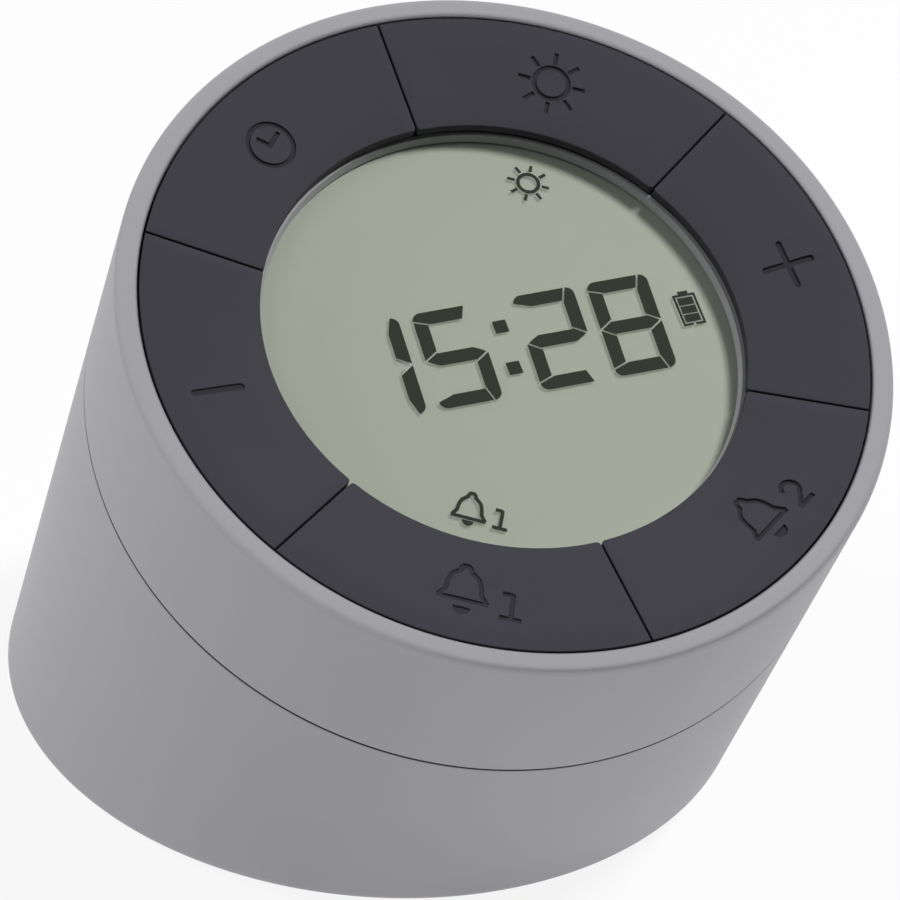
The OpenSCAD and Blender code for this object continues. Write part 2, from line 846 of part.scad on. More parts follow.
// Round board under the display, notched to pass the case bosses
module main_board() {
    color(board_green) head_frame() difference() {
        bar(board_r, board_top, board_under);
        at(case_boss_at, case_angles) {
            bar(boss_r + pass_play, board_top - 1, board_under + 1);
            translate([2 * boss_r, 0, 0])
                block(4 * boss_r, 2 * boss_r + 2 * pass_play, board_top - 1, board_under + 1);
        }
        at(board_post_at, gap_angles) bar(screw_r + seat_play, board_top - 1, board_under + 1);
    }
}

module controller_chip() {
    color("#222226") head_frame() rotate([0, 0, 45])
        block(chip_w, chip_w, board_under, board_under + chip_h);
}

// Can of the quartz crystal, lying on the board
module quartz_crystal() {
    color(steel) head_frame() translate([-crystal_l / 2, -crystal_at, -board_under - crystal_r])
        rotate([0, 90, 0]) cylinder(r = crystal_r, h = crystal_l);
}

// Piezo disc in a round case
module alarm_sounder() {
    color("#28282C") head_frame() translate([-sounder_at, 0, 0]) difference() {
        bar(sounder_r, board_under, board_under + sounder_h);
        bar(1.2, board_under + sounder_h - 1, board_under + sounder_h + 1);
    }
}

// Six push switches, each with a bore for its stem
module key_switches() {
    color("#303034") head_frame() at(key_mid_r, key_angles) difference() {
        block(switch_w, switch_w, switch_top, board_top);
        bar(stem_r + slide_play, switch_top - 1, stem_end + key_travel + stop_play);
    }
}

// Screws through the key frame into the head, their heads under the keys
module frame_screws() {
    color(steel) head_frame() at(frame_boss_at, gap_angles) {
        bar(screw_head_r, frame_top + seat_play, frame_top + screw_head_h + seat_play);
        bar(screw_r, frame_top + screw_head_h, frame_boss_under - 0.2);
    }
}

module board_screws() {
    color(steel) head_frame() at(board_post_at, gap_angles) screw_up(board_under, board_t);
}

module case_screws() {
    color(steel) head_frame() at(case_boss_at, case_angles) screw_up(deck_under, deck_t);
}

// Board that faces the diffuser
module lamp_board() {
    color("#E6E6E0") head_frame() difference() {
        bar(lamp_board_r, lamp_top, lamp_under);
        at(post_at, gap_angles) bar(screw_r + seat_play, lamp_top - 1, lamp_under + 1);
        translate([0, charge_lead_at, 0]) bar(charge_hole_r, lamp_top - 1, lamp_under + 1);
    }
}

module lamp_leds() {
    color("#F2E6A0") head_frame() at(lamp_at, [for (k = [0:lamp_n - 1]) 360 * k / lamp_n])
        block(lamp_w, lamp_w, lamp_under, lamp_under + lamp_h);
}

module lamp_screws() {
    color(steel) head_frame() at(post_at, gap_angles) screw_up(lamp_under, board_t);
}

// Sealed ball switch that tells which way up the clock stands
module tilt_switch() {
    color(steel) head_frame() translate([0, -tilt_at, 0]) bar(tilt_r, lamp_top - tilt_h, lamp_top);
}

// Flat rechargeable cell, hung under the deck on a foam pad
module battery_cell() {
    color("#3C6FA8") head_frame() block(cell_l, cell_w, deck_under + pad_t, deck_under + pad_t + cell_t);
}

module battery_pad() {
    color("#202022") head_frame()
        block(cell_l - 2 * pad_in, cell_w - 2 * pad_in, deck_under, deck_under + pad_t);
}

module charge_board() {
    color(board_green) head_frame() difference() {
        translate([0, rib_from + charge_l / 2, 0]) block(charge_w, charge_l, charge_drop, charge_under);
        for (s = [-1, 1]) translate([s * rib_at, rib_from + rib_w / 2, 0])
            bar(screw_r + seat_play, charge_drop - 1, charge_under + 1);
    }
}

// A flat socket's outline with round ends, grown by more, between two distances from the axis
module socket_solid(more, from, to) {
    w = socket_w - socket_h;
    translate([0, to, -socket_drop]) rotate([90, 0, 0]) linear_extrude(to - from) {
        square([w, socket_h + 2 * more], center = true);
        for (s = [-1, 1]) translate([s * w / 2, 0]) circle(r = socket_h / 2 + more);
    }
}

// Steel shell of the charging socket, with its contact tongue
module charge_socket() {
    color(steel) head_frame() {
        difference() {
            socket_solid(0, socket_back - socket_l, socket_back);
            socket_solid(-socket_wall, socket_back - socket_l + 1, socket_back + 1);
        }
        translate([0, socket_back - socket_l / 2 - 0.5, 0])
            block(socket_w - socket_h, socket_l - 2, socket_drop - 0.35, socket_drop + 0.35);
    }
}

module charge_screws() {
    color(steel) head_frame() for (s = [-1, 1]) translate([s * rib_at, rib_from + rib_w / 2, 0])
        screw_up(charge_under, board_t);
}

// Two leads side by side
module pair() {
    for (s = [-1, 1]) translate([0, s * lead_pitch / 2, 0]) children();
}

// Leads from the end of the cell up through the deck to the main board
module cell_leads() {
    drop = deck_under + pad_t + cell_t / 2;
    turn = wire_at - lead_step;
    color("#B03030") head_frame() pair() {
        translate([turn, 0, 0]) bar(lead_r, board_under, drop);
        translate([cell_l / 2, 0, -drop]) rotate([0, 90, 0]) cylinder(r = lead_r, h = turn - cell_l / 2);
        translate([turn, 0, -drop]) sphere(r = lead_r);
    }
}

module lamp_leads() {
    color("#D8D8D8") head_frame() pair()
        translate([wire_at + lead_step, 0, 0]) bar(lead_r, board_under, lamp_top);
}

module charge_leads() {
    color("#303030") head_frame() translate([0, charge_lead_at, 0]) rotate([0, 0, 90]) pair()
        bar(lead_r, board_under, charge_drop);
}

head_shell();
body_shell();
base_diffuser();
key_frame();
lcd_glass();
lcd_reflector();
lcd_segments();
lcd_holder();
contact_strips();
main_board();
controller_chip();
quartz_crystal();
alarm_sounder();
key_switches();
frame_screws();
board_screws();
case_screws();
lamp_board();
lamp_leds();
lamp_screws();
tilt_switch();
battery_cell();
battery_pad();
charge_board();
charge_socket();
charge_screws();
cell_leads();
lamp_leads();
charge_leads();
plus_key();
light_key();
time_key();
minus_key();
alarm_one_key();
alarm_two_key();
plus_stem();
light_stem();
time_stem();
minus_stem();
alarm_one_stem();
alarm_two_stem();
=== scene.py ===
import json
import math

import bmesh
import bpy
from mathutils import Matrix, Vector

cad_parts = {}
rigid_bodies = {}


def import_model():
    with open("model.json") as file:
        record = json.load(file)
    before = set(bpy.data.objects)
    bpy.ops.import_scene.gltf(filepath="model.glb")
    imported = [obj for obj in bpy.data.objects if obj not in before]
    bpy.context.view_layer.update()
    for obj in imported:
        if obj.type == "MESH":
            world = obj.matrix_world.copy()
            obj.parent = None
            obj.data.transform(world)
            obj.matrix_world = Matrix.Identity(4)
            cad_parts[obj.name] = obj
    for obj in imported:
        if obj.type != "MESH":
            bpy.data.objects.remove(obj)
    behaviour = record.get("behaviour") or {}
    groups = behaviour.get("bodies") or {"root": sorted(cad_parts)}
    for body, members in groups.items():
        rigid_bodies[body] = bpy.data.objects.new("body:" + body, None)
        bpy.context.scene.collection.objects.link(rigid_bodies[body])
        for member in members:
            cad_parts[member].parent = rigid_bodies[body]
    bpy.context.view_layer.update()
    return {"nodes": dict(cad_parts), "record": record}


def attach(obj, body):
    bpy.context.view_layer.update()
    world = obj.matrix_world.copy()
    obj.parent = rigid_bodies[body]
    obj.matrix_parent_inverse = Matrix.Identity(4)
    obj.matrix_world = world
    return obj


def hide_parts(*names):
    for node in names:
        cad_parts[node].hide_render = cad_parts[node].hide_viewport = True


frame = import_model()
scene = bpy.context.scene
mm = 0.001

# the clock's own axes: x right, y up across the display, z out of the rim, in millimetres
clock = {"lean": 30.0, "rimY": -23.7959, "rimZ": 63.4797, "caseRadius": 40.0}
lean = math.radians(clock["lean"])
rimCentre = (0, clock["rimY"] * mm, clock["rimZ"] * mm)
clockAxes = Matrix.Translation(rimCentre) @ Matrix.Rotation(lean, 4, "X") @ Matrix.Scale(mm, 4)


class Wire:  # a socket that takes Python maths
    def __init__(self, finish, socket):
        self.finish = finish
        self.socket = socket

    def sums(self, operation, first, second):
        return self.finish.node("ShaderNodeMath", {"operation": operation}, {0: first, 1: second})

    def __add__(self, other):
        return self.sums("ADD", self, other)

    def __radd__(self, other):
        return self.sums("ADD", other, self)

    def __sub__(self, other):
        return self.sums("SUBTRACT", self, other)

    def __rsub__(self, other):
        return self.sums("SUBTRACT", other, self)

    def __mul__(self, other):
        return self.sums("MULTIPLY", self, other)

    def __rmul__(self, other):
        return self.sums("MULTIPLY", other, self)


class Finish:  # a material with its node tree, or the world's
    def __init__(self, name, owner=None):
        self.owner = owner or bpy.data.materials.new(name)
        self.owner.use_nodes = True
        self.tree = self.owner.node_tree

    def plug(self, socket, value):
        if isinstance(value, Wire):
            self.tree.links.new(value.socket, socket)
        else:
            socket.default_value = value

    def node(self, kind, settings=None, inputs=None, output=0):
        made = self.tree.nodes.new(kind)
        for key, value in (settings or {}).items():
            setattr(made, key, value)
        for key, value in (inputs or {}).items():
            self.plug(made.inputs[key], value)
        return Wire(self, made.outputs[output])

    def coords(self):
        return self.node("ShaderNodeTexCoord", output="Object")

    def noise(self, scale, detail, roughness):
        return self.node("ShaderNodeTexNoise", inputs={
            "Vector": self.coords(), "Scale": scale, "Detail": detail, "Roughness": roughness})

    # a fine grain
    def pits(self, scale):
        return self.noise(scale, detail=3.0, roughness=0.6)

    # a slow change of tone
    def cloud(self, scale):
        return self.noise(scale, detail=2.0, roughness=0.5)

    # distance from the case axis and height above the rim plane, in millimetres
    def round(self):
        placed = self.node("ShaderNodeMapping", {"vector_type": "TEXTURE"}, {
            "Vector": self.coords(), "Location": rimCentre, "Rotation": (lean, 0, 0),
            "Scale": (mm, mm, mm)})
        flat = self.node("ShaderNodeVectorMath", {"operation": "MULTIPLY"},
                         {0: placed, 1: (1, 1, 0)})
        radius = self.node("ShaderNodeVectorMath", {"operation": "LENGTH"}, {0: flat}, "Value")
        return radius, self.node("ShaderNodeSeparateXYZ", inputs={"Vector": placed}, output="Z")

    # 0 below the edge, 1 above it, over a width
    def step(self, value, edge, width):
        return self.node("ShaderNodeClamp", inputs={"Value": (value - edge) * (1 / width)})

    def blend(self, factor, first, second):
        return self.node("ShaderNodeMix", {"data_type": "RGBA"},
                         {"Factor": factor, 6: first, 7: second}, 2)  # the node's colour sockets

    # a colour that drifts by a share to either side
    def drifting(self, factor, colour, share):
        return self.blend(factor, tone(colour, 1 - share), tone(colour, 1 + share))

    # a roughness that follows the grain
    def uneven(self, rough, grain, spread):
        return rough - spread / 2 + grain * spread

    def bump(self, height, strength, distance):
        return self.node("ShaderNodeBump", inputs={
            "Height": height, "Strength": strength, "Distance": distance})

    # 1 where the background is looked at, straight or in a reflection, 0 where it lights
    # a matt surface
    def looked(self):
        rays = [self.node("ShaderNodeLightPath", output="Is " + kind + " Ray")
                for kind in ("Camera", "Glossy", "Transmission")]
        return 1 - (1 - rays[0]) * (1 - rays[1]) * (1 - rays[2])

    def shade(self, **values):
        names = {"colour": "Base Color", "rough": "Roughness", "metal": "Metallic",
                 "normal": "Normal", "alpha": "Alpha", "specular": "Specular IOR Level"}
        for key, value in values.items():
            self.plug(self.tree.nodes["Principled BSDF"].inputs[names[key]], value)
        return self.owner


def tone(colour, factor=1.0):
    return (colour[0] * factor, colour[1] * factor, colour[2] * factor, 1.0)


# moulded plastic: fine spark-eroded grain, slow drift of tone
plastic = {"grain": 5500.0, "depth": 0.012, "strength": 0.25, "spread": 0.12,
           "cloud": 60.0, "drift": 0.05}


def grained(f, colour, rough, specular, c):
    pits = f.pits(c["grain"])
    return f.shade(colour=colour, rough=f.uneven(rough, pits, c["spread"]), specular=specular,
                   normal=f.bump(pits, c["strength"], c["depth"] * mm))


def moulded(name, colour, rough=0.5, specular=0.5, **changes):
    c = {**plastic, **changes}
    f = Finish(name)
    return grained(f, f.drifting(f.cloud(c["cloud"]), colour, c["drift"]), rough, specular, c)


# bare metal, or at a lower share a lacquer with metal flake in it
bareMetal = {"grain": 7000.0, "depth": 0.004, "strength": 0.2, "spread": 0.08,
             "cloud": 45.0, "drift": 0.03, "share": 1.0, "joint": None}


def metal(name, colour, rough, **changes):
    c = {**bareMetal, **changes}
    f = Finish(name)
    blast = f.pits(c["grain"])
    skin = f.drifting(f.cloud(c["cloud"]), colour, c["drift"])
    # painted shade blended in on the faces inside the seam gap
    if c["joint"]:
        skin = f.blend(seamGapShade(f, c["joint"]), skin, tone(c["joint"]["colour"]))
    return f.shade(colour=skin, metal=c["share"], rough=f.uneven(rough, blast, c["spread"]),
                   normal=f.bump(blast, c["strength"], c["depth"] * mm))


# painted shade: the faces between the two halves of the case are darkened, standing in for shade
# in the seam gap
def seamGapShade(f, c):
    radius, height = f.round()
    within = f.step(height, c["under"], c["soft"]) * (1 - f.step(height, c["top"], c["soft"]))
    return within * (1 - f.step(radius, c["radius"], c["soft"]))


# the satin case; its gap colour is painted shade in the seam between the halves
caseSilver = {"colour": (0.386, 0.382, 0.407), "rough": 0.52, "grain": 5200.0, "share": 0.75,
              "joint": {"under": -21.0, "top": -20.1, "radius": 39.92, "soft": 0.08,
                        "colour": (0.085, 0.085, 0.092)}}

# the key frame: grey round the display opening, with painted shade where the keys cover it
bezelGrey = {**plastic, "colour": (0.36, 0.36, 0.375), "shadeUnderKeys": (0.02, 0.02, 0.023),
             "edge": 25.35, "soft": 0.12, "rough": 0.5, "specular": 0.1}


def greyWithKeyShade(name, c):
    f = Finish(name)
    radius, _ = f.round()
    # painted shade: dark beyond the edge radius, under the keys
    colour = f.blend(f.step(radius, c["edge"], c["soft"]), tone(c["colour"]), tone(c["shadeUnderKeys"]))
    return grained(f, colour, c["rough"], c["specular"], c)


# the keys: charcoal, with painted shade down in the cut marks and on the sides below the sloped
# top
keyTop = {"inner": 25.1, "outer": 37.5, "heights": (-2.0, -0.3)}
keySlope = (keyTop["heights"][1] - keyTop["heights"][0]) / (keyTop["outer"] - keyTop["inner"])
keyCharcoal = {**plastic, "depth": 0.01, "colour": (0.043, 0.0415, 0.05),
               "recessShade": (0.026, 0.0252, 0.03), "recessShadeFrom": 0.05, "soft": 0.08,
               "rough": 0.6, "specular": 0.2}


def keyPlasticWithRecessShade(name, c):
    f = Finish(name)
    radius, height = f.round()
    below = (radius - keyTop["inner"]) * keySlope + keyTop["heights"][0] - height
    top = f.drifting(f.cloud(c["cloud"]), c["colour"], c["drift"])
    # painted shade: darker wherever the surface lies below the sloped key top, in the marks and on
    # the sides
    colour = f.blend(f.step(below, c["recessShadeFrom"], c["soft"]), top, tone(c["recessShade"]))
    return grained(f, colour, c["rough"], c["specular"], c)


# the display's dark segments: they dim the light that falls through them, so their
# shadow is faint
segmentInk = {"colour": (0.034, 0.04, 0.03), "shadow": 0.25, "grain": 5500.0, "speckle": 0.1,
              "rough": 0.7, "spread": 0.12, "specular": 0.05}


def printedInk(name, c):
    f = Finish(name)
    pits = f.pits(c["grain"])
    shadowRay = f.node("ShaderNodeLightPath", output="Is Shadow Ray")
    return f.shade(colour=f.drifting(pits, c["colour"], c["speckle"]), specular=c["specular"],
                   rough=f.uneven(c["rough"], pits, c["spread"]),
                   alpha=1 - shadowRay * (1 - c["shadow"]))


# the display's front: clear, with the faint grain of an anti-glare film
displayFilm = {"colour": (0.6, 0.64, 0.56), "grain": 8000.0, "rough": 0.35, "roughRise": 0.15,
               "alpha": 0.03, "alphaRise": 0.02}


def clearFront(name, c):
    f = Finish(name)
    film = f.cloud(c["grain"])
    return f.shade(colour=tone(c["colour"]), rough=c["rough"] + film * c["roughRise"],
                   alpha=c["alpha"] + film * c["alphaRise"])


finishes = {
    "case_metal": metal("satinSilver", **caseSilver),
    "frame_plastic": greyWithKeyShade("bezelGrey", bezelGrey),
    "key_plastic": keyPlasticWithRecessShade("keyCharcoal", keyCharcoal),
    "display_ink": printedInk("segmentInk", segmentInk),
    "display_glass": clearFront("displayFilm", displayFilm),
    "display_back": moulded("displayGreen", (0.365, 0.398, 0.33), rough=0.8, specular=0.1,
                            grain=9000.0, depth=0.003, drift=0.02),
    "pale_plastic": moulded("paleMoulding", (0.68, 0.67, 0.62)),
    "contact_rubber": moulded("contactRubber", (0.09, 0.09, 0.1), rough=0.8),
    "circuit_board": moulded("boardLacquer", (0.03, 0.1, 0.045), rough=0.3, drift=0.15),
    "lamp_board": moulded("whiteLacquer", (0.78, 0.78, 0.74), rough=0.35),
    "black_plastic": moulded("blackMoulding", (0.02, 0.02, 0.022)),
    "steel": metal("plainSteel", (0.5, 0.5, 0.5), rough=0.3),
    "lamp_resin": moulded("phosphorResin", (0.88, 0.77, 0.34), rough=0.3),
    "frosted_plastic": moulded("frostedBase", (0.83, 0.82, 0.77), rough=0.55, depth=0.006),
    "cell_wrap": moulded("cellWrap", (0.05, 0.16, 0.39), rough=0.35),
    "foam": moulded("padFoam", (0.015, 0.015, 0.016), rough=0.9, grain=1800.0, depth=0.1),
    "red_lead": moulded("redSheath", (0.43, 0.03, 0.03), rough=0.45),
    "white_lead": moulded("whiteSheath", (0.68, 0.68, 0.68), rough=0.45),
    "black_lead": moulded("blackSheath", (0.03, 0.03, 0.03), rough=0.45),
}
print("finishes:", len(finishes))

slotOf = {part["node"]: part["material_slot"] for part in frame["record"]["subparts"]}
for name, node in frame["nodes"].items():
    node.data.materials.clear()
    node.data.materials.append(finishes[slotOf[name]])
# painted shade: the screws are blackened so that the gaps between the keys, over their heads, look
# dark
gapShadeScrews = metal("gapShadeSteel", (0.02, 0.02, 0.022), rough=0.6)
frame["nodes"]["frame_screws"].data.materials[0] = gapShadeScrews


def meshObject(name, bm):
    mesh = bpy.data.meshes.new(name)
    bm.to_mesh(mesh)
    bm.free()
    made = bpy.data.objects.new(name, mesh)
    scene.collection.objects.link(made)
    return made


def addPiece(name, bm, node, body, sharp=35.0):
    piece = meshObject(name, bm)
    mesh = piece.data
    if "custom_normal" in mesh.attributes:  # a copied solid's, out of date on rounded edges
        mesh.attributes.remove(mesh.attributes["custom_normal"])
    mesh.materials.append(finishes[slotOf[node]])
    mesh.shade_smooth()
    mesh.set_sharp_from_angle(angle=math.radians(sharp))
    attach(piece, body)
    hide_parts(node)
    return piece


# turns vertices and edges once about the case axis and closes the seam
def spunRound(bm, geom, steps, merge=1e-4):
    bmesh.ops.spin(bm, geom=geom, cent=(0, 0, 0), axis=(0, 0, 1), angle=2 * math.pi, steps=steps,
                   use_merge=True)
    bmesh.ops.remove_doubles(bm, verts=bm.verts[:], dist=merge)


# splits an edge close to both ends, so that a flat face keeps its own normal beside a round
def holdEnds(edge, near):
    first, last = edge.verts
    _, point = bmesh.utils.edge_split(edge, first, near / edge.calc_length())
    rest = next(e for e in point.link_edges if last in e.verts)
    bmesh.utils.edge_split(rest, last, near / rest.calc_length())


def roundEdges(bm, edges, width, segments):
    bmesh.ops.bevel(bm, geom=edges, offset=width, affect="EDGES", segments=segments, profile=0.5,
                    clamp_overlap=False, material=-1)


# rim and upper wall
headCase = {"bore": 37.7, "under": 20.375, "outerRound": 0.8, "innerRound": 0.5, "seamRound": 0.12,
            "roundSegments": 7, "steps": 288, "hold": 0.05,
            "frameBosses": {"at": 34.8, "radius": 3.2, "top": 6.85, "under": 11.2,
                            "angles": (30, 150, 270)},
            "caseBosses": {"at": 32.15, "radius": 3.2, "top": 14.0, "under": 20.625,
                           "angles": (90, 210, 330)}}


def addBosses(bm, bosses, segments=40):
    for angle in bosses["angles"]:
        spot = Matrix.Rotation(math.radians(angle), 4, "Z") @ Matrix.Translation(
            (bosses["at"], 0, -(bosses["top"] + bosses["under"]) / 2))
        bmesh.ops.create_cone(bm, cap_ends=True, segments=segments, radius1=bosses["radius"],
                              radius2=bosses["radius"], depth=bosses["under"] - bosses["top"],
                              matrix=spot)


def buildHead(c):
    bm = bmesh.new()
    outer = clock["caseRadius"]
    corners = [bm.verts.new((x, 0, z)) for x, z in (
        (c["bore"], 0), (outer, 0), (outer, -c["under"]), (c["bore"], -c["under"]))]
    bm.faces.new(corners)
    for corner, radius in zip(corners[:3], (c["innerRound"], c["outerRound"], c["seamRound"])):
        bmesh.ops.bevel(bm, geom=[corner], offset=radius, affect="VERTICES",
                        segments=c["roundSegments"], profile=0.5, material=-1)
    for edge in [e for e in bm.edges if e.calc_length() > c["outerRound"]]:
        holdEnds(edge, c["hold"])
    edges = bm.edges[:]
    bmesh.ops.delete(bm, geom=bm.faces[:], context="FACES_ONLY")
    spunRound(bm, bm.verts[:] + edges, c["steps"])
    bmesh.ops.recalc_face_normals(bm, faces=bm.faces[:])
    addBosses(bm, c["frameBosses"])
    addBosses(bm, c["caseBosses"])
    bm.transform(clockAxes)
    return addPiece("headShell", bm, "head_shell", "case")


headShell = buildHead(headCase)
print("head:", len(headShell.data.polygons), "faces")

# lower case: a spigot and seam lip, the long wall, then level steps of the slanted base
bodyCase = {"steps": 288, "hold": 0.05, "baseRound": 2.0, "roundSteps": 10,
            "seam": ((35.75, -20.625), (35.75, -17.5), (37.55, -17.5), (37.55, -20.625),
                     (39.88, -20.625), (39.965, -20.66), (40.0, -20.745), (40.0, -20.8),
                     (40.0, -118.0)),
            "levels": ((36.35, 0.0), (36.35, 2.6), (34.6, 2.6), (34.6, 4.6), (37.6, 4.6)),
            "deckAbove": -30.0, "deckUnder": 22.825,
            "posts": {"at": 29.8, "radius": 2.6, "top": 22.0, "under": 35.825,
                      "angles": (30, 150, 270)},
            "ribs": {"x": 8.0, "size": (4.0, 12.4, 6.0), "y": 31.5, "depth": 73.0},
            "slot": {"width": 9.2, "height": 3.5, "depth": 74.4, "y": (34.0, 42.0),
                     "flat": 0.01, "segments": 8}}


# where the case axis passes a height above the table, in metres
def axisAt(height):
    run = (clock["rimZ"] - height) * math.tan(lean)
    return Vector((0, (clock["rimY"] + run) * mm, height * mm))


def baseSteps(c):
    quarter = [math.pi / 2 * k / c["roundSteps"] for k in range(1, c["roundSteps"] + 1)]
    r = c["baseRound"]
    rounded = [(clock["caseRadius"] - r * (1 - math.cos(a)), r * (1 - math.sin(a)))
               for a in quarter]
    return rounded + list(c["levels"])


# cuts level at a height above the table and gives the edges of the cut
def cutLevel(bm, height, keepBelow):
    cut = bmesh.ops.bisect_plane(bm, geom=bm.verts[:] + bm.edges[:] + bm.faces[:],
                                 plane_co=(0, 0, height * mm), plane_no=(0, 0, -1),
                                 clear_outer=not keepBelow)
    return edgesOf(cut["geom_cut"])


def edgesOf(geom):
    return [e for e in geom if isinstance(e, bmesh.types.BMEdge)]


def vertsOf(geom):
    return [v for v in geom if isinstance(v, bmesh.types.BMVert)]


def buildBody(c):
    bm = bmesh.new()
    row = [bm.verts.new((r, 0, z)) for r, z in c["seam"]]
    edges = [bm.edges.new(pair) for pair in zip(row, row[1:])]
    spunRound(bm, row + edges, c["steps"])
    deckRim = [e for e in bm.edges if e.is_boundary and e.verts[0].co.z > c["deckAbove"]]
    bmesh.ops.contextual_create(bm, geom=deckRim)
    bm.transform(clockAxes)
    radius, height = clock["caseRadius"], c["baseRound"]
    cutLevel(bm, height + c["hold"], keepBelow=True)
    loop = cutLevel(bm, height, keepBelow=False)
    for nextRadius, nextHeight in baseSteps(c):
        grown = bmesh.ops.extrude_edge_only(bm, edges=loop)["geom"]
        loop, points = edgesOf(grown), vertsOf(grown)
        here, there = axisAt(height), axisAt(nextHeight)
        size = nextRadius / radius
        bmesh.ops.scale(bm, verts=points, vec=(size, size, 1), space=Matrix.Translation(-here))
        bmesh.ops.translate(bm, verts=points, vec=there - here)
        radius, height = nextRadius, nextHeight
    grown = bmesh.ops.extrude_edge_only(bm, edges=loop)["geom"]
    upwards = clockAxes.to_3x3().normalized() @ Vector((0, 0, 1))
    back = clockAxes.inverted()
    for v in vertsOf(grown):
        v.co += upwards * (-c["deckUnder"] - (back @ v.co).z) * mm
    bmesh.ops.contextual_create(bm, geom=edgesOf(grown))
    bmesh.ops.recalc_face_normals(bm, faces=bm.faces[:])
    return bm


def addWorks(bm, c):
    bm.transform(clockAxes.inverted())
    addBosses(bm, c["posts"])
    ribs = c["ribs"]
    for side in (-1, 1):
        spot = Matrix.Translation((side * ribs["x"], ribs["y"], -ribs["depth"]))
        bmesh.ops.create_cube(bm, size=1.0, matrix=spot @ Matrix.Diagonal((*ribs["size"], 1.0)))
    bm.transform(clockAxes)


# a flat plug hole with round ends, to cut through the back wall
def plugCutter(c):
    bm = bmesh.new()
    spot = Matrix.Translation((0, (c["y"][0] + c["y"][1]) / 2, -c["depth"]))
    size = (c["width"], c["y"][1] - c["y"][0], c["height"], 1.0)
    bmesh.ops.create_cube(bm, size=1.0, matrix=spot @ Matrix.Diagonal(size))
    long = [e for e in bm.edges if abs(e.verts[0].co.y - e.verts[1].co.y) > c["height"]]
    roundEdges(bm, long, c["height"] / 2 - c["flat"], c["segments"])
    bm.transform(clockAxes)
    return meshObject("plugCutter", bm)


def cutThrough(bm, cutter):
    uncut = meshObject("uncut", bm)
    hole = uncut.modifiers.new("hole", "BOOLEAN")
    hole.object, hole.operation, hole.solver = cutter, "DIFFERENCE", "EXACT"
    done = bmesh.new()
    done.from_object(uncut, bpy.context.evaluated_depsgraph_get())
    bpy.data.objects.remove(uncut)
    bpy.data.objects.remove(cutter)
    return done


bodyMesh = cutThrough(buildBody(bodyCase), plugCutter(bodyCase["slot"]))
addWorks(bodyMesh, bodyCase)
bodyShell = addPiece("bodyShell", bodyMesh, "body_shell", "case")
print("body:", len(bodyShell.data.polygons), "faces")

# keys: the solids' own shapes with rounded edges and shallower marks
keyEdges = {"width": 0.12, "segments": 3, "markWidth": 0.09, "markSegments": 2, "angle": 38.0,
            "sharp": 16.0, "merge": 2e-6, "near": 0.05, "gap": 0.22, "halfSector": 30.0,
            "cornerReach": 0.6, "lowest": -2.4, "markDepth": 0.28,
            "markShare": {"plus": 0.85, "light": 0.7, "time": 0.7, "minus": 0.6,
                          "alarm_one": 0.5, "alarm_two": 0.75}}
keyNames = ("plus", "light", "time", "minus", "alarm_one", "alarm_two")


# an edge of the key's outline seen from above, in the clock's axes
def onOutline(edge, angle, c):
    middle = (edge.verts[0].co + edge.verts[1].co) / 2
    middle = Matrix.Rotation(-math.radians(angle), 3, "Z") @ middle
    radius = math.hypot(middle.x, middle.y)
    turn = math.radians(c["halfSector"]) - abs(math.atan2(middle.y, middle.x))
    return (abs(radius - keyTop["outer"]) < c["near"]
            or radius < keyTop["inner"] + c["cornerReach"]
            or radius * math.sin(turn) < c["gap"] / 2 + c["near"])


# height of the sloped key top above a point
def topAt(point):
    return keyTop["heights"][0] + (math.hypot(point.x, point.y) - keyTop["inner"]) * keySlope


def softKey(name, angle, c):
    bm = bmesh.new()
    bm.from_mesh(frame["nodes"][name + "_key"].data)
    bmesh.ops.remove_doubles(bm, verts=bm.verts[:], dist=c["merge"])
    bm.transform(clockAxes.inverted())
    for v in bm.verts:  # the marks' floors, raised a little
        if abs(topAt(v.co) - v.co.z - c["markDepth"]) < c["near"]:
            v.co.z += c["markDepth"] * (1 - c["markShare"][name])
    sharp = [e for e in bm.edges
             if len(e.link_faces) == 2 and e.calc_face_angle() > math.radians(c["angle"])]
    rim = [e for e in sharp
           if min(v.co.z for v in e.verts) > c["lowest"] and onOutline(e, angle, c)]
    marks = [e for e in sharp
             if min(v.co.z - topAt(v.co) for v in e.verts) > -c["near"]
             and not onOutline(e, angle, c)]
    roundEdges(bm, marks, c["markWidth"], c["markSegments"])
    roundEdges(bm, [e for e in rim if e.is_valid], c["width"], c["segments"])
    bm.transform(clockAxes)
    return addPiece(name + "Key", bm, name + "_key", name + "_key", sharp=c["sharp"])


keyPitch = 2 * keyEdges["halfSector"]
keys = [softKey(name, keyPitch * k, keyEdges) for k, name in enumerate(keyNames)]
print("keys:", len(keys))

# the display's clear front, a hair above the reflector
displayFront = {"radius": 26.1, "top": 4.4, "under": 4.68, "segments": 192}


def buildFront(c):
    bm = bmesh.new()
    spot = Matrix.Translation((0, 0, -(c["top"] + c["under"]) / 2))
    bmesh.ops.create_cone(bm, cap_ends=True, segments=c["segments"], radius1=c["radius"],
                          radius2=c["radius"], depth=c["under"] - c["top"], matrix=spot)
    bm.transform(clockAxes)
    return addPiece("displayFront", bm, "lcd_glass", "case")


buildFront(displayFront)
print("display: ready")

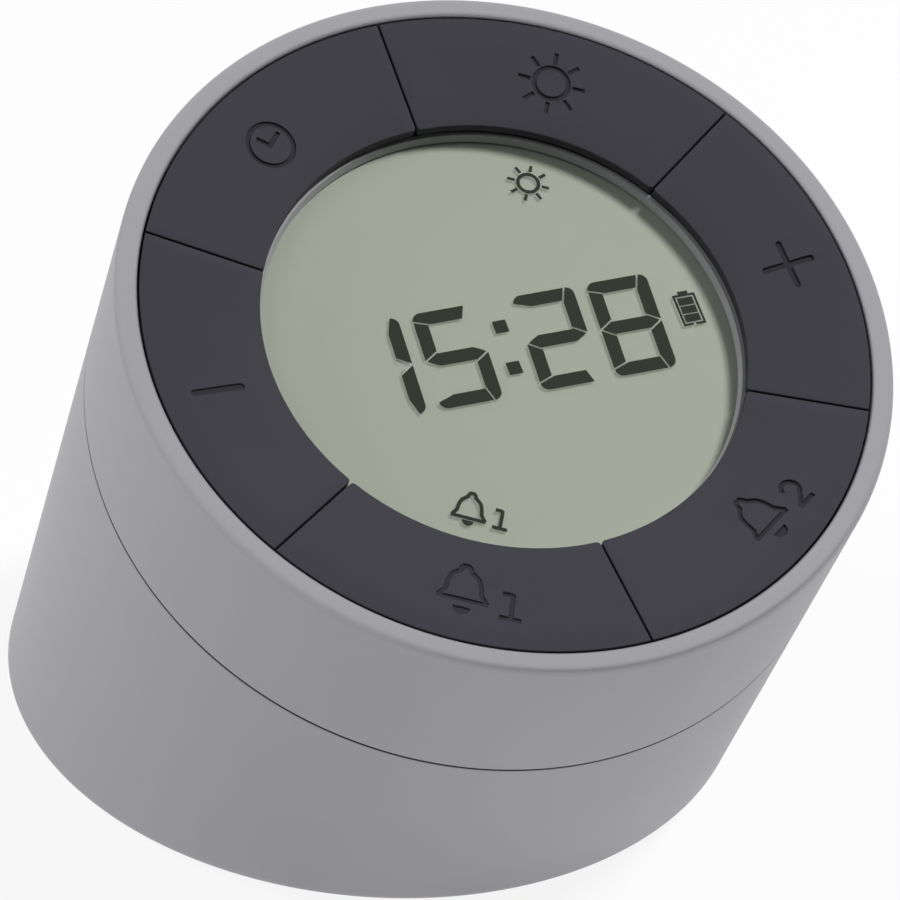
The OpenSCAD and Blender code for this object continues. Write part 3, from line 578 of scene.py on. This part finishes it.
# floor, light and camera, in metres
studio = {"white": (1.0, 1.0, 1.0, 1.0), "around": 0.06,
          "floor": {"colour": (0.8, 0.8, 0.8), "cloud": 3.0, "drift": 0.01, "rough": 0.9,
                    "specular": 0.1, "size": 6.0, "drop": 0.0001, "shadowKept": 0.12},
          "card": {"colour": (0.03, 0.03, 0.03), "cloud": 4.0, "drift": 0.1, "rough": 0.9,
                   "specular": 0.0},
          "cards": {"rimCard": {"at": (0.22, -0.62, 0.06), "faces": (0, -0.06, 0.045),
                                "size": (1.3, 0.42), "mirrored": True},
                    "floorCard": {"at": (0.05, -0.62, 0.002), "faces": (0.05, -0.62, 1.0),
                                  "size": (1.3, 1.0), "mirrored": False}},
          "lampsFace": (0, 0, 0.045),
          "lamps": {"keyBox": {"from": (0.571, -0.194, 0.798), "away": 1.1, "size": 0.28,
                               "power": 11.7},
                    "fillBox": {"from": (-0.571, -0.158, 0.806), "away": 1.2, "size": 0.7,
                                "power": 2.4},
                    "backBox": {"from": (-0.724, 0.515, 0.458), "away": 1.2, "size": 0.5,
                                "power": 6.4}}}


def buildFloor(c, white):
    f = Finish("paperFloor")
    colour = f.blend(f.cloud(c["cloud"]), tone(c["colour"], 1 - c["drift"]), tone(c["colour"]))
    f.shade(colour=colour, rough=c["rough"], specular=c["specular"])
    paper = Wire(f, f.tree.nodes["Principled BSDF"].outputs[0])
    glow = f.node("ShaderNodeEmission", inputs={"Color": white, "Strength": 1.0})
    shown = f.looked() * (1 - c["shadowKept"])
    mixed = f.node("ShaderNodeMixShader", inputs={0: shown, 1: paper, 2: glow})
    f.plug(f.tree.nodes["Material Output"].inputs["Surface"], mixed)
    bm = bmesh.new()
    bmesh.ops.create_grid(bm, x_segments=1, y_segments=1, size=c["size"],
                          matrix=Matrix.Translation((0, 0, -c["drop"])))
    floor = meshObject("floor", bm)
    floor.data.materials.append(f.owner)


def buildWorld(white, around):
    scene.world = bpy.data.worlds.new("studio")
    f = Finish("studio", scene.world)
    sky = f.tree.nodes["Background"].inputs
    f.plug(sky["Color"], white)
    f.plug(sky["Strength"], around + f.looked() * (1 - around))


def aimed(place, target):
    turn = (place - target).to_track_quat("Z", "Y")
    return Matrix.Translation(place) @ turn.to_matrix().to_4x4()


# dark cards in front, never seen straight: one shows in the lacquer as a line along the rim's
# round, and one keeps the floor's light off the walls that face it
def buildCards(c, cards):
    f = Finish("darkCard")
    f.shade(colour=f.drifting(f.cloud(c["cloud"]), c["colour"], c["drift"]), rough=c["rough"],
            specular=c["specular"])
    for name, card in cards.items():
        bm = bmesh.new()
        bmesh.ops.create_grid(bm, x_segments=1, y_segments=1, size=0.5)  # a unit square
        bmesh.ops.scale(bm, verts=bm.verts[:], vec=(*card["size"], 1.0))
        bm.transform(aimed(Vector(card["at"]), Vector(card["faces"])))
        holder = meshObject(name, bm)
        holder.data.materials.append(f.owner)
        holder.visible_camera = holder.visible_shadow = holder.visible_transmission = False
        holder.visible_glossy, holder.visible_diffuse = card["mirrored"], not card["mirrored"]


def buildLamps(lamps, target):
    for name, lamp in lamps.items():
        light = bpy.data.lights.new(name, "AREA")
        light.shape, light.size, light.energy = "DISK", lamp["size"], lamp["power"]
        holder = bpy.data.objects.new(name, light)
        scene.collection.objects.link(holder)
        holder.visible_glossy = False  # the white room is what shows in the lacquer
        place = target + Vector(lamp["from"]).normalized() * lamp["away"]
        holder.matrix_world = aimed(place, target)


photoCamera = {"place": (-0.169707, -0.374539, 0.277497), "right": (0.90808, -0.41876, 0.00524),
               "up": (0.2082, 0.46228, 0.86194), "forward": (0.36337, 0.78162, -0.50698),
               "lens": 177.816, "sensor": 36.0, "clip": (0.01, 50.0)}


def buildCamera(c):
    lens = bpy.data.cameras.new("photoCamera")
    lens.sensor_fit, lens.sensor_width, lens.lens = "HORIZONTAL", c["sensor"], c["lens"]
    lens.clip_start, lens.clip_end = c["clip"]
    holder = bpy.data.objects.new("photoCamera", lens)
    scene.collection.objects.link(holder)
    facing = Matrix((c["right"], c["up"], -Vector(c["forward"]))).transposed()
    holder.matrix_world = Matrix.Translation(c["place"]) @ facing.to_4x4()
    scene.camera = holder


buildFloor(studio["floor"], studio["white"])
buildWorld(studio["white"], studio["around"])
buildCards(studio["card"], studio["cards"])
buildLamps(studio["lamps"], Vector(studio["lampsFace"]))
buildCamera(photoCamera)
scene.view_settings.view_transform = "Standard"
print("studio: ready")
